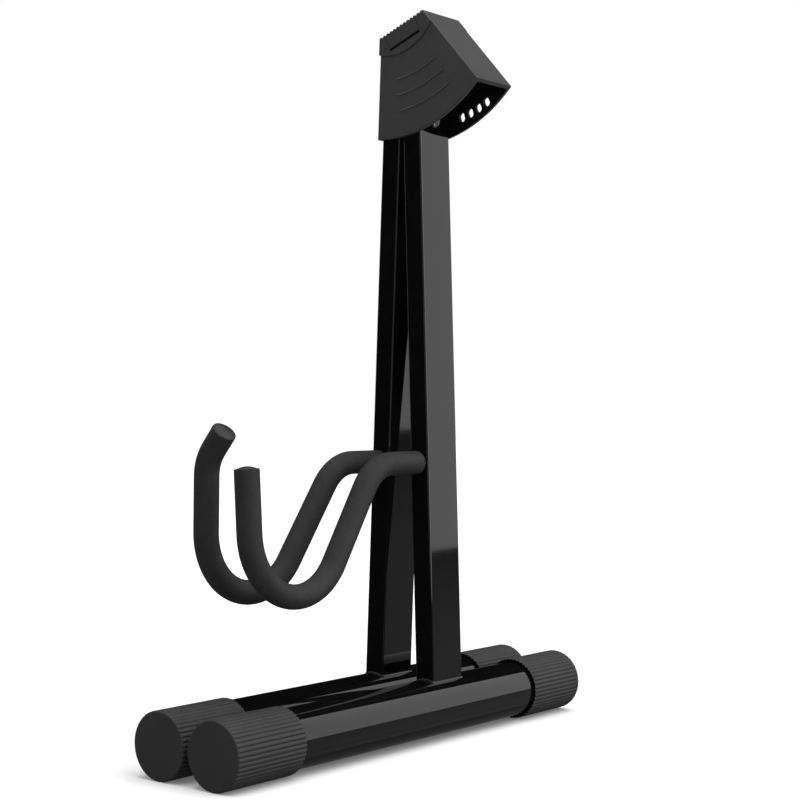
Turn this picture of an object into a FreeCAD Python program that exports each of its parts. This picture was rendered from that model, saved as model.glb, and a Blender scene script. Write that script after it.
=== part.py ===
import FreeCAD, Part
import math
import os

# Folding A-frame guitar stand, shown folded: two upright tubes on round foot tubes,
# a moulded hinge head on the left upright, and a padded hook arm on each upright.
# Millimetres, +Z up, +Y to the rear, the hook arms point to -Y.
# The origin lies on the floor below the middle of the two uprights.

doc = FreeCAD.newDocument("guitar_stand")
sheet = doc.addObject("Spreadsheet::Sheet", "sizes")

SIZES = [
    # Foot tubes and their ribbed caps
    ("foot_half_spacing", 20.9),
    ("foot_tube_diameter", 35.0),
    ("foot_tube_wall", 1.5),
    ("foot_front_reach", 199.7),
    ("foot_rear_reach", 130.5),
    ("cap_wall", 2.0),
    ("cap_length", 53.6),
    ("cap_end_wall", 4.0),
    ("cap_lip", 0.9),
    ("cap_rib_count", 44),
    ("cap_rib_land", 1.5),
    ("cap_rib_depth", 0.7),
    ("cap_fit", 0.05),
    # Uprights
    ("upright_width", 13.8),
    ("upright_depth", 30.2),
    ("upright_wall", 1.2),
    ("upright_corner", 1.4),
    ("upright_gap", 0.3491),
    ("left_upright_drop", 9.0),
    # Hook arms
    ("rod_diameter", 8.0),
    ("rod_fit", 0.05),
    ("sleeve_diameter", 14.4),
    ("sleeve_fit", 0.1),
    ("sleeve_root_gap", 2.3),
    ("arm_root_height", 151.6),
    ("arm_shoulder_reach", 59.1),
    ("arm_shoulder_radius", 30.8),
    ("arm_slope", 55.5),
    ("arm_prong_reach", 168.8),
    ("arm_prong_lean", 1.63),
    ("arm_cradle_radius", 38.4),
    ("arm_prong_rise", 0.6),
    ("arm_bend_rise", 4.2),
    ("arm_bend_angle", 38.3),
    ("arm_bend_radius", 24.4),
    ("arm_bend_length", 22.0),
    ("tip_plug_depth", 7.0),
    ("tip_head_diameter", 11.6),
    ("tip_head_rise", 1.4),
    # Hinge in the head
    ("pivot_height", 400.0),
    ("pin_diameter", 6.0),
    ("pin_running_gap", 0.05),
    ("pin_seat_gap", 0.02),
    ("pin_head_diameter", 11.0),
    ("pin_head_height", 2.2),
    ("eye_diameter", 12.0),
    ("eye_half_length", 9.0),
    ("flange_diameter", 16.0),
    ("flange_inner_face", 5.0),
    ("neck_width", 10.0),
    ("neck_half_length", 4.4),
    ("collar_drop", 14.2),
    ("collar_height", 2.3),
    ("spigot_length", 32.0),
    ("spigot_fit", 0.1),
    ("rivet_drop", 36.9),
    ("rivet_diameter", 2.6),
    ("rivet_head_diameter", 4.6),
    ("rivet_head_height", 1.1),
    ("rivet_head_round", 0.9),
    ("rivet_fit", 0.05),
    # Head shell
    ("sector_angle", 43.85),
    ("leg_head_gap", 0.6),
    ("head_wall", 2.5),
    ("head_side_wall", 1.45),
    ("head_edge", 0.8),
    ("head_top_rise", 24.0),
    ("head_right_reach", 30.2),
    ("top_tilt", 23.9),
    ("mouth_radius", 94.7),
    ("mouth_centre_side", 17.2),
    ("mouth_centre_rise", 47.8),
    ("pad_start_rise", 5.0),
    ("ledge_height", 2.0),
    ("shelf_gap", 1.5),
    ("shelf_height", 2.0),
    ("shelf_half_length", 8.5),
    ("boss_diameter", 11.0),
    ("boss_gap", 0.5),
    ("pin_end_wall", 1.0),
    ("slot_count", 4),
    ("slot_inset", 7.2),
    ("slot_row_side", 9.3),
    ("slot_row_rise", 4.9),
    ("slot_first_angle", 17.9),
    ("slot_pitch_angle", 4.47),
    ("slot_width", 4.3),
    ("slot_length", 6.0),
    ("wave_count", 3),
    ("wave_first_radius", 73.5),
    ("wave_pitch", 10.0),
    ("wave_centre_side", 18.3),
    ("wave_centre_rise", 63.0),
    ("wave_start_angle", 8.5),
    ("wave_end_angle", 34.0),
    ("wave_width", 2.2),
    ("wave_rise", 0.7),
    ("wave_root", 0.4),
    ("wave_crest_lean", 0.4),
    ("screw_diameter", 4.0),
    ("screw_fit", 0.05),
    ("screw_length", 10.0),
    ("screw_head_diameter", 7.6),
    ("screw_head_height", 2.4),
    ("screw_first_drop", 8.0),
    ("screw_pitch", 17.0),
    # Top cap and release button
    ("cap_proud", 0.8),
    ("smile_radius", 37.4),
    ("smile_centre_side", 13.8),
    ("smile_centre_rise", 42.6),
    ("smile_seam", 0.1),
    ("grip_rib_count", 13),
    ("grip_rib_depth", 0.9),
    ("button_left_reach", 8.1),
    ("button_right_reach", 16.4),
    ("button_side_gap", 0.3),
    ("button_slit", 1.8),
    ("button_travel", 1.5),
    ("button_skirt", 9.9),
    ("button_skirt_wall", 2.4),
    ("button_plate", 2.8),
    ("fork_inner_gap", 0.6),
    ("fork_thickness", 2.8),
    ("fork_half_width", 5.0),
    ("fork_slot_gap", 0.2),
    ("tooth_half_width", 2.0),
    ("tooth_height", 2.5),
    ("tooth_gap", 0.3),
    ("notch_depth", 1.2),
    ("post_diameter", 5.0),
    ("post_length", 4.0),
    ("spring_mean_diameter", 7.4),
    ("spring_wire", 0.8),
    ("spring_turns", 5.0),
    ("spring_end_gap", 0.05),
]

# Sizes that follow from the ones above
FOLLOWING_SIZES = [
    ("cap_diameter", "foot_tube_diameter + 2 * cap_wall"),
    ("right_upright_top", "pivot_height - collar_drop - collar_height"),
    ("left_upright_top", "pivot_height - left_upright_drop"),
    # Folded, the uprights stand upright_gap apart at the right one's top
    ("leg_lean", "asin((foot_half_spacing - upright_width / 2 - upright_gap / 2) / right_upright_top)"),
    ("arm_prong_top", "arm_root_height + arm_prong_rise"),
    ("arm_bend_height", "arm_root_height + arm_bend_rise"),
    ("head_depth", "upright_depth + 2 * leg_head_gap + 2 * head_wall"),
    ("slot_radius", "mouth_radius - slot_inset"),
    ("shelf_drop", "head_top_rise - flange_diameter / 2 - shelf_gap - shelf_height"),
    ("boss_height", "upright_depth / 2 + leg_head_gap - eye_half_length - fork_inner_gap"
                    " - fork_thickness - boss_gap"),
]

contents = [(alias, str(number)) for alias, number in SIZES]
contents += [(alias, "=" + formula) for alias, formula in FOLLOWING_SIZES]
for row, (alias, content) in enumerate(contents, start=1):
    cell = "A%d" % row
    sheet.set(cell, content)
    sheet.setAlias(cell, alias)
doc.recompute()

X_AXIS = FreeCAD.Vector(1, 0, 0)
Y_AXIS = FreeCAD.Vector(0, 1, 0)
LEFT = -1
RIGHT = 1
# How far a cutting solid runs past the face that it cuts through
OVERRUN = 20.0
# Share by which a swept tube may differ from its section times its length
SWEEP_TOLERANCE = 0.01


def size(alias):
    return float(sheet.get(alias))


def sine(alias):
    return math.sin(math.radians(size(alias)))


def cosine(alias):
    return math.cos(math.radians(size(alias)))


# Simple solids, joins and cuts, with their sizes bound to the sheet

def box(name, length, width, height, corner, turn=0.0):
    """A box from its low corner; turn, in degrees, lifts its X edge towards +Z."""
    solid = doc.addObject("Part::Box", name)
    solid.setExpression("Length", length)
    solid.setExpression("Width", width)
    solid.setExpression("Height", height)
    solid.Placement = FreeCAD.Placement(FreeCAD.Vector(*corner), FreeCAD.Rotation(Y_AXIS, -turn))
    return solid


def cylinder(name, radius, height, start, axis):
    solid = doc.addObject("Part::Cylinder", name)
    solid.setExpression("Radius", radius)
    solid.setExpression("Height", height)
    turn = FreeCAD.Rotation(FreeCAD.Vector(0, 0, 1), axis)
    solid.Placement = FreeCAD.Placement(FreeCAD.Vector(*start), turn)
    return solid


def join(name, *pieces):
    joined = doc.addObject("Part::MultiFuse", name)
    joined.Shapes = list(pieces)
    return joined


def cut(name, base, *tools):
    result = doc.addObject("Part::Cut", name)
    result.Base = base
    result.Tool = tools[0] if len(tools) == 1 else join(name + "_tools", *tools)
    return result


def common(name, base, tool):
    result = doc.addObject("Part::Common", name)
    result.Base = base
    result.Tool = tool
    return result


def extruded(name, face, length):
    """A face in the XZ plane, drawn out equally to both sides of it."""
    outline = doc.addObject("Part::Feature", name + "_outline")
    outline.Shape = face
    solid = doc.addObject("Part::Extrusion", name)
    solid.Base = outline
    solid.DirMode = "Custom"
    solid.Dir = Y_AXIS
    solid.Symmetric = True
    solid.setExpression("LengthFwd", length)
    return solid


def rounded(name, base, radius, is_rounded):
    """Fillets every edge of the base for which is_rounded says yes."""
    doc.recompute()
    fillet = doc.addObject("Part::Fillet", name)
    fillet.Base = base
    chosen = [index for index, edge in enumerate(base.Shape.Edges, start=1) if is_rounded(edge)]
    fillet.Edges = [(index, radius, radius) for index in chosen]
    return fillet


def runs_along(edge, axis):
    ends = edge.Vertexes
    if len(ends) != 2:
        return False
    direction = ends[1].Point - ends[0].Point
    return abs(direction.dot(axis)) > 0.999 * direction.Length


sub_parts = []


def finish(piece, label):
    piece.Label = label
    sub_parts.append(piece)


def in_leg(piece, side, label):
    """Leg pieces are drawn with the upright along Z and the foot axis at the origin."""
    lean_axis = FreeCAD.Vector(0, -side, 0)
    piece.Placement = FreeCAD.Placement(FreeCAD.Vector(0, 0, 0), FreeCAD.Rotation(lean_axis, 1.0))
    piece.setExpression("Placement.Base.x", "%d * sizes.foot_half_spacing" % side)
    piece.setExpression("Placement.Base.z", "sizes.cap_diameter / 2")
    piece.setExpression("Placement.Rotation.Angle", "sizes.leg_lean")
    finish(piece, label)


# Foot tubes and caps

def foot_tube(side_name, side):
    start = (0, size("cap_end_wall") - size("foot_front_reach"), 0)
    length = "sizes.foot_front_reach + sizes.foot_rear_reach - 2 * sizes.cap_end_wall"
    skin = cylinder(side_name + "_foot_skin", "sizes.foot_tube_diameter / 2", length, start, Y_AXIS)
    bore_radius = "sizes.foot_tube_diameter / 2 - sizes.foot_tube_wall"
    bore = cylinder(side_name + "_foot_bore", bore_radius, length, start, Y_AXIS)
    in_leg(cut(side_name + "_foot", skin, bore), side, side_name + "_foot_tube")


def ribbed_face(bottom_angle):
    """The cap's section: flat rib crests, one of them centred on the floor side."""
    crest = size("cap_diameter") / 2
    count = int(size("cap_rib_count"))
    half_land = size("cap_rib_land") / 2
    root = crest - size("cap_rib_depth")
    points = []
    for rib in range(count):
        middle = bottom_angle + 2 * math.pi * rib / count
        along = FreeCAD.Vector(math.cos(middle), math.sin(middle), 0)
        across = FreeCAD.Vector(-math.sin(middle), math.cos(middle), 0)
        valley = middle + math.pi / count
        points.append(along * crest - across * half_land)
        points.append(along * crest + across * half_land)
        points.append(FreeCAD.Vector(math.cos(valley), math.sin(valley), 0) * root)
    return Part.Face(Part.makePolygon(points + points[:1]))


def foot_cap(label, side, end_y, inward):
    """A rubber cap; inward is +1 where the cap runs from its end face towards +Y."""
    bottom_angle = math.radians(90 if inward > 0 else -90)
    section = doc.addObject("Part::Feature", label + "_section")
    section.Shape = ribbed_face(bottom_angle)
    ribs = doc.addObject("Part::Extrusion", label + "_ribs")
    ribs.Base = section
    ribs.DirMode = "Custom"
    ribs.Dir = FreeCAD.Vector(0, 0, 1)
    ribs.setExpression("LengthFwd", "sizes.cap_length")
    origin = (0, 0, 0)
    lip_radius = "sizes.cap_diameter / 2 - sizes.cap_rib_depth / 2"
    lip_start = (0, 0, -OVERRUN)
    up = FreeCAD.Vector(0, 0, 1)
    lip_zone = cylinder(label + "_lip_zone", "sizes.cap_diameter",
                        "%f + sizes.cap_lip" % OVERRUN, lip_start, up)
    lip = cylinder(label + "_lip", lip_radius, "sizes.cap_lip", origin, up)
    bore_radius = "sizes.foot_tube_diameter / 2 + sizes.cap_fit"
    bore = cylinder(label + "_bore", bore_radius, "sizes.cap_length",
                    (0, 0, size("cap_end_wall")), up)
    ribbed = cut(label + "_ribbed", ribs, lip_zone)
    edge_radius = size("cap_lip") / 2
    soft_lip = rounded(label + "_soft_lip", lip, edge_radius, lambda edge: edge.BoundBox.ZMax < edge_radius)
    cap = cut(label + "_body", join(label + "_whole", ribbed, soft_lip), bore)
    cap.Placement = FreeCAD.Placement(FreeCAD.Vector(0, end_y, 0), FreeCAD.Rotation(X_AXIS, -90 * inward))
    cap.setExpression("Placement.Base.x", "%d * sizes.foot_half_spacing" % side)
    cap.setExpression("Placement.Base.z", "sizes.cap_diameter / 2")
    finish(cap, label)


# Uprights: rectangular tube, coped to the foot tube below

def upright_tube(name, top):
    width = size("upright_width")
    depth = size("upright_depth")
    wall = size("upright_wall")
    skin = box(name + "_skin", "sizes.upright_width", "sizes.upright_depth", top,
               (-width / 2, -depth / 2, 0))
    up = FreeCAD.Vector(0, 0, 1)
    soft_skin = rounded(name + "_soft_skin", skin, size("upright_corner"),
                        lambda edge: runs_along(edge, up))
    hollow = box(name + "_hollow", "sizes.upright_width - 2 * sizes.upright_wall",
                 "sizes.upright_depth - 2 * sizes.upright_wall", top,
                 (wall - width / 2, wall - depth / 2, 0))
    cope = cylinder(name + "_cope", "sizes.foot_tube_diameter / 2", "2 * sizes.upright_depth",
                    (0, -depth, 0), Y_AXIS)
    arm_hole = cylinder(name + "_arm_hole", "sizes.rod_diameter / 2 + sizes.rod_fit",
                        "sizes.upright_depth / 2",
                        (0, -depth / 2 - wall, size("arm_root_height")), Y_AXIS)
    return soft_skin, [hollow, cope, arm_hole]


def left_upright():
    skin, tools = upright_tube("left_upright", "sizes.left_upright_top")
    for place in screw_places():
        tools.append(cylinder("left_upright_screw_hole", "sizes.screw_diameter / 2 + sizes.screw_fit",
                              "sizes.upright_depth / 2 + %f" % OVERRUN, (place[0], 0, place[1]), Y_AXIS))
    in_leg(cut("left_upright", skin, *tools), LEFT, "left_upright")


def right_upright():
    skin, tools = upright_tube("right_upright", "sizes.right_upright_top")
    tools.append(rivet_shank("right_upright_rivet_hole", "sizes.rivet_diameter / 2 + sizes.rivet_fit"))
    in_leg(cut("right_upright", skin, *tools), RIGHT, "right_upright")


def rivet_shank(name, radius):
    start = (-size("upright_width") / 2, 0, size("pivot_height") - size("rivet_drop"))
    return cylinder(name, radius, "sizes.upright_width", start, X_AXIS)


# Hook arms: a bent rod, a foam sleeve over it and a plug in the sleeve's end

def rounded_wire(points, radii):
    """Straight runs through the points, with a tangent arc of each radius at the inner ones."""
    edges = []
    start = points[0]
    for corner, after, radius in zip(points[1:-1], points[2:], radii):
        inbound = (corner - start).normalize()
        outbound = (after - corner).normalize()
        half_turn = inbound.getAngle(outbound) / 2
        setback = radius * math.tan(half_turn)
        entry = corner - inbound * setback
        leave = corner + outbound * setback
        towards_centre = (outbound - inbound).normalize()
        middle = corner + towards_centre * (radius / math.cos(half_turn) - radius)
        edges.append(Part.LineSegment(start, entry).toShape())
        edges.append(Part.Arc(entry, middle, leave).toShape())
        start = leave
    edges.append(Part.LineSegment(start, points[-1]).toShape())
    return Part.Wire(edges)


def arm_route(side, root_y, shortened):
    """The arm's centre line in its leg's frame, from root_y to its tip less a length."""
    root = size("arm_root_height")
    slope = math.radians(size("arm_slope"))
    lean = math.radians(size("arm_prong_lean"))
    shoulder = FreeCAD.Vector(0, -size("arm_shoulder_reach"), root)
    downhill = FreeCAD.Vector(0, -math.cos(slope), -math.sin(slope))
    prong_up = FreeCAD.Vector(0, -math.sin(lean), math.cos(lean))
    prong = FreeCAD.Vector(0, -size("arm_prong_reach"), root)
    gap = shoulder.y - prong.y
    run = gap / (math.cos(slope) + math.sin(slope) * math.tan(lean))
    cradle = shoulder + downhill * run
    radii = [size("arm_shoulder_radius"), size("arm_cradle_radius")]
    points = [FreeCAD.Vector(0, root_y, root), shoulder, cradle]
    if side == RIGHT:
        end = prong + prong_up * ((size("arm_prong_top") - root) / math.cos(lean) - shortened)
        return rounded_wire(points + [end], radii)
    bend = prong + prong_up * ((size("arm_bend_height") - root) / math.cos(lean))
    bend_turn = math.radians(size("arm_bend_angle"))
    bent = prong_up * math.cos(bend_turn) + X_AXIS * math.sin(bend_turn)
    end = bend + bent * (size("arm_bend_length") - shortened)
    return rounded_wire(points + [bend, end], radii + [size("arm_bend_radius")])


swept_tubes = []


def swept(name, route, radius):
    path = doc.addObject("Part::Feature", name + "_route")
    path.Shape = route
    ring = doc.addObject("Part::Circle", name + "_ring")
    ring.setExpression("Radius", radius)
    first = route.OrderedEdges[0]
    heading = first.tangentAt(first.FirstParameter)
    turn = FreeCAD.Rotation(FreeCAD.Vector(0, 0, 1), heading)
    ring.Placement = FreeCAD.Placement(first.valueAt(first.FirstParameter), turn)
    tube = doc.addObject("Part::Sweep", name)
    tube.Sections = [ring]
    tube.Spine = path
    tube.Solid = True
    swept_tubes.append((tube, ring, route.Length))
    return tube


def arm(side_name, side):
    front_face = -size("upright_depth") / 2
    rod_start = size("upright_depth") / 2 - size("upright_wall")
    sleeve_start = front_face - size("sleeve_root_gap")
    rod_radius = "sizes.rod_diameter / 2"
    rod = swept(side_name + "_rod", arm_route(side, rod_start, size("tip_plug_depth")), rod_radius)
    in_leg(rod, side, side_name + "_arm_rod")

    whole_route = arm_route(side, sleeve_start, 0.0)
    foam = swept(side_name + "_foam", whole_route, "sizes.sleeve_diameter / 2")
    bore = swept(side_name + "_foam_bore", whole_route, "sizes.rod_diameter / 2 + sizes.sleeve_fit")
    in_leg(cut(side_name + "_sleeve", foam, bore), side, side_name + "_arm_sleeve")

    last = whole_route.OrderedEdges[-1]
    tip = last.valueAt(last.LastParameter)
    outward = last.tangentAt(last.LastParameter)
    stem_start = tip - outward * size("tip_plug_depth")
    stem = cylinder(side_name + "_tip_stem", rod_radius, "sizes.tip_plug_depth", stem_start, outward)
    half_chord = size("tip_head_diameter") / 2
    rise = size("tip_head_rise")
    dome_radius = (half_chord ** 2 + rise ** 2) / (2 * rise)
    ball = doc.addObject("Part::Sphere", side_name + "_tip_ball")
    ball.Radius = dome_radius
    ball.Placement.Base = tip - outward * (dome_radius - rise)
    head_zone = cylinder(side_name + "_tip_zone", "sizes.tip_head_diameter / 2",
                         "2 * sizes.tip_head_rise", tip, outward)
    head = common(side_name + "_tip_head", head_zone, ball)
    in_leg(join(side_name + "_tip", stem, head), side, side_name + "_arm_tip")


# Places in the head, which is drawn in the left leg's frame: U across, W up the upright

LEAN_SINE = sine("leg_lean")
LEAN_COSINE = cosine("leg_lean")
PIVOT_U = 2 * LEAN_COSINE * (size("foot_half_spacing") - size("pivot_height") * LEAN_SINE)
PIVOT_W = (2 * size("foot_half_spacing") * LEAN_SINE
           + size("pivot_height") * (LEAN_COSINE ** 2 - LEAN_SINE ** 2))
TOP_ALONG = (cosine("top_tilt"), sine("top_tilt"))
TOP_OUT = (-sine("top_tilt"), cosine("top_tilt"))
RIGHT_OUT = (cosine("sector_angle"), sine("sector_angle"))
RIGHT_ALONG = (-sine("sector_angle"), cosine("sector_angle"))


def top_place(along, drop):
    """A place by its distance along the head's top and below it, from the pivot's line."""
    rise = size("head_top_rise") - drop
    return (PIVOT_U + along * TOP_ALONG[0] + rise * TOP_OUT[0],
            PIVOT_W + along * TOP_ALONG[1] + rise * TOP_OUT[1])


def top_box(name, length, width, height, along, low_y, deepest):
    """A box square to the head's top, from its left end, its low Y and its deepest face."""
    u, w = top_place(along, deepest)
    return box(name, length, width, height, (u, low_y, w), size("top_tilt"))


def screw_places():
    first = size("left_upright_top") - size("screw_first_drop")
    return [(0.0, first - row * size("screw_pitch")) for row in range(2)]


def meet(point_a, along_a, point_b, along_b):
    """Where two lines in the UW plane meet."""
    det = along_a[0] * -along_b[1] + along_b[0] * along_a[1]
    du = point_b[0] - point_a[0]
    dw = point_b[1] - point_a[1]
    reach = (du * -along_b[1] + along_b[0] * dw) / det
    return (point_a[0] + reach * along_a[0], point_a[1] + reach * along_a[1])


def head_outline(left_u, right_reach, top_drop, mouth):
    """The head's section: upright left side, sloping right side, tilted top, round mouth."""
    right_point = (PIVOT_U + right_reach * RIGHT_OUT[0], PIVOT_W + right_reach * RIGHT_OUT[1])
    top_left = meet((left_u, PIVOT_W), (0.0, 1.0), top_place(0.0, top_drop), TOP_ALONG)
    top_right = meet(right_point, RIGHT_ALONG, top_place(0.0, top_drop), TOP_ALONG)
    centre_u = PIVOT_U - size("mouth_centre_side")
    centre_w = PIVOT_W + size("mouth_centre_rise")
    low_left = (left_u, centre_w - math.sqrt(mouth ** 2 - (left_u - centre_u) ** 2))
    offset_u = right_point[0] - centre_u
    offset_w = right_point[1] - centre_w
    half_b = offset_u * RIGHT_ALONG[0] + offset_w * RIGHT_ALONG[1]
    reach = -half_b - math.sqrt(half_b ** 2 - offset_u ** 2 - offset_w ** 2 + mouth ** 2)
    low_right = (right_point[0] + reach * RIGHT_ALONG[0], right_point[1] + reach * RIGHT_ALONG[1])
    swing = (math.atan2(low_left[1] - centre_w, low_left[0] - centre_u)
             + math.atan2(low_right[1] - centre_w, low_right[0] - centre_u)) / 2
    low_middle = (centre_u + mouth * math.cos(swing), centre_w + mouth * math.sin(swing))
    corners = [FreeCAD.Vector(u, 0, w) for u, w in (low_left, low_middle, low_right, top_right, top_left)]
    edges = [
        Part.Arc(corners[0], corners[1], corners[2]).toShape(),
        Part.LineSegment(corners[2], corners[3]).toShape(),
        Part.LineSegment(corners[3], corners[4]).toShape(),
        Part.LineSegment(corners[4], corners[0]).toShape(),
    ]
    return Part.Face(Part.Wire(edges))


HALF_DEPTH = size("head_depth") / 2
INNER_HALF_DEPTH = HALF_DEPTH - size("head_wall")
SEAT_U = size("upright_width") / 2
LEFT_U = -(SEAT_U + size("head_side_wall"))
PIVOT_PLACE = (PIVOT_U, PIVOT_W)


def across_head(name, radius, place, low_y, length):
    """A cylinder along Y at a place in the head."""
    return cylinder(name, radius, length, (place[0], low_y, place[1]), Y_AXIS)


def smile_disc(name, radius):
    place = (PIVOT_U - size("smile_centre_side"), PIVOT_W + size("smile_centre_rise"))
    return across_head(name, radius, place, -2 * HALF_DEPTH, "2 * sizes.head_depth")


def head_hollow():
    inside = head_outline(-SEAT_U, size("head_right_reach") - size("head_wall"), size("button_plate"),
                          size("mouth_radius") + OVERRUN)
    return extruded("head_hollow", inside, "sizes.head_depth - 2 * sizes.head_wall")


def right_wall_zone():
    inner = size("head_right_reach") - size("head_wall")
    low = -size("mouth_radius")
    corner = (PIVOT_U + inner * RIGHT_OUT[0] + low * RIGHT_ALONG[0], -HALF_DEPTH,
              PIVOT_W + inner * RIGHT_OUT[1] + low * RIGHT_ALONG[1])
    return box("right_wall_zone", "sizes.head_wall + %f" % OVERRUN, "sizes.head_depth",
               "2 * sizes.mouth_radius", corner, size("sector_angle"))


def grip_grooves():
    """Square bars laid on edge across the head's top, which leave the grip ribs between them."""
    cap_left = LEFT_U - size("cap_proud")
    top_left = meet((cap_left, PIVOT_W), (0.0, 1.0), top_place(0.0, 0.0), TOP_ALONG)
    right_point = (PIVOT_U + size("head_right_reach") * RIGHT_OUT[0],
                   PIVOT_W + size("head_right_reach") * RIGHT_OUT[1])
    top_right = meet(right_point, RIGHT_ALONG, top_place(0.0, 0.0), TOP_ALONG)
    count = int(size("grip_rib_count"))
    bars = []
    for groove in range(1, count):
        share = groove / count
        u = top_left[0] + share * (top_right[0] - top_left[0])
        w = top_left[1] + share * (top_right[1] - top_left[1])
        deepest = (u - size("grip_rib_depth") * TOP_OUT[0], -2 * HALF_DEPTH,
                   w - size("grip_rib_depth") * TOP_OUT[1])
        bars.append(box("grip_groove", "sizes.grip_rib_depth * sqrt(2)", "2 * sizes.head_depth",
                        "sizes.grip_rib_depth * sqrt(2)", deepest, size("top_tilt") + 45.0))
    return join("grip_grooves", *bars)


def wave_ridges():
    """Low curved ridges on the front face, parts of rings about one centre, steeper below than above."""
    centre = (PIVOT_U - size("wave_centre_side"), PIVOT_W + size("wave_centre_rise"))
    origin = FreeCAD.Vector(centre[0], 0, centre[1])
    out_of_face = FreeCAD.Vector(0, -HALF_DEPTH - size("wave_rise"), 0)
    into_face = FreeCAD.Vector(0, -HALF_DEPTH + size("wave_root"), 0)
    first = FreeCAD.Rotation(Y_AXIS, -size("wave_start_angle")).multVec(FreeCAD.Vector(0, 0, -1))
    sweep_angle = size("wave_end_angle") - size("wave_start_angle")
    ridges = []
    for wave in range(int(size("wave_count"))):
        middle = size("wave_first_radius") + wave * size("wave_pitch")
        upper = origin + first * (middle - size("wave_width") / 2) + into_face
        crest = origin + first * (middle + size("wave_crest_lean")) + out_of_face
        lower = origin + first * (middle + size("wave_width") / 2) + into_face
        blade = Part.Face(Part.makePolygon([upper, crest, lower, upper]))
        ridge = doc.addObject("Part::Feature", "wave_ridge")
        ridge.Shape = blade.revolve(origin, Y_AXIS, -sweep_angle)
        ridges.append(ridge)
    return ridges


def vent_slots():
    """Short radial slots through the rear wall, in a row beside the mouth, a little less steep than it."""
    centre = (PIVOT_U - size("mouth_centre_side") + size("slot_row_side"),
              PIVOT_W + size("mouth_centre_rise") + size("slot_row_rise"))
    half_straight = (size("slot_length") - size("slot_width")) / 2
    slots = []
    for number in range(int(size("slot_count"))):
        angle = math.radians(size("slot_first_angle") + number * size("slot_pitch_angle"))
        outward = (math.sin(angle), -math.cos(angle))
        ends = []
        for shift in (-half_straight, half_straight):
            reach = size("slot_radius") + shift
            ends.append((centre[0] + reach * outward[0], centre[1] + reach * outward[1]))
        for place in ends:
            slots.append(across_head("slot_end", "sizes.slot_width / 2", place, 0.0, "sizes.head_depth"))
        half_width = size("slot_width") / 2
        corner = (ends[1][0] - half_width * math.cos(angle), 0.0, ends[1][1] - half_width * math.sin(angle))
        slots.append(box("slot_middle", "sizes.slot_width", "sizes.head_depth",
                         "sizes.slot_length - sizes.slot_width", corner, math.degrees(angle)))
    return slots


def head_shell(hollow, wall_zone, grooves):
    outline = head_outline(LEFT_U, size("head_right_reach"), 0.0, size("mouth_radius"))
    block = extruded("shell_block", outline, "sizes.head_depth")
    soft_block = rounded("shell_soft_block", block, size("head_edge"),
                         lambda edge: not runs_along(edge, Y_AXIS))
    cap_zone = cut("cap_zone", smile_disc("cap_zone_disc", "sizes.smile_radius"), wall_zone)
    walls = cut("shell_walls", soft_block, hollow, cap_zone, grooves)

    pads = []
    pad_low = PIVOT_W + size("mouth_centre_rise") - size("mouth_radius") + size("pad_start_rise")
    pad_height = "sizes.left_upright_top - %f" % pad_low
    pad_thickness = INNER_HALF_DEPTH - size("upright_depth") / 2
    for low_y in (-INNER_HALF_DEPTH, size("upright_depth") / 2):
        pads.append(box("seat_pad", "sizes.upright_width", "%f" % pad_thickness, pad_height,
                        (-SEAT_U, low_y, pad_low)))
    ledge = box("seat_ledge", "sizes.upright_width", "sizes.head_depth - 2 * sizes.head_wall",
                "sizes.ledge_height", (-SEAT_U, -INNER_HALF_DEPTH, size("left_upright_top")))
    shelf_deep = size("shelf_drop") + size("shelf_height")
    reach = size("mouth_radius")
    shelf_bar = top_box("shelf_bar", "2 * sizes.mouth_radius", "2 * sizes.shelf_half_length",
                        "sizes.shelf_height", -reach, -size("shelf_half_length"), shelf_deep)
    shelf = common("spring_shelf", shelf_bar, block)
    boss_front = across_head("boss_front", "sizes.boss_diameter / 2", PIVOT_PLACE,
                             -INNER_HALF_DEPTH, "sizes.boss_height")
    boss_rear = across_head("boss_rear", "sizes.boss_diameter / 2", PIVOT_PLACE,
                            INNER_HALF_DEPTH - size("boss_height"), "sizes.boss_height")
    whole = join("shell_whole", walls, ledge, shelf, boss_front, boss_rear, *(pads + wave_ridges()))

    pin_seat = across_head("pin_seat", "sizes.pin_diameter / 2 + sizes.pin_seat_gap", PIVOT_PLACE,
                           size("pin_end_wall") - HALF_DEPTH, "2 * sizes.head_depth")
    holes = [across_head("shell_screw_hole", "sizes.screw_diameter / 2 + sizes.screw_fit", place,
                         size("upright_depth") / 2 - size("upright_wall"), "sizes.head_depth")
             for place in screw_places()]
    shell = cut("head_shell", whole, pin_seat, *(holes + vent_slots()))
    in_leg(shell, LEFT, "head_shell")


def button_opening():
    gap = size("button_side_gap")
    deepest = size("button_skirt") + size("button_slit")
    return top_box("button_opening",
                   "sizes.button_left_reach + sizes.button_right_reach + 2 * sizes.button_side_gap",
                   "2 * sizes.head_depth", "2 * sizes.button_skirt + sizes.button_slit",
                   -size("button_left_reach") - gap, -2 * HALF_DEPTH, deepest)


def top_cap(hollow, wall_zone, grooves):
    outline = head_outline(LEFT_U - size("cap_proud"), size("head_right_reach"), 0.0, size("mouth_radius"))
    block = extruded("cap_block", outline, "sizes.head_depth + 2 * sizes.cap_proud")
    along_top = FreeCAD.Vector(TOP_ALONG[0], 0, TOP_ALONG[1])
    soft_block = rounded("cap_soft_block", block, size("head_edge"),
                         lambda edge: not runs_along(edge, Y_AXIS) and not runs_along(edge, along_top))
    above_smile = common("cap_above_smile", soft_block,
                         smile_disc("smile_disc", "sizes.smile_radius - sizes.smile_seam"))
    in_leg(cut("top_cap", above_smile, hollow, wall_zone, button_opening(), grooves), LEFT, "top_cap")


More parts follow.
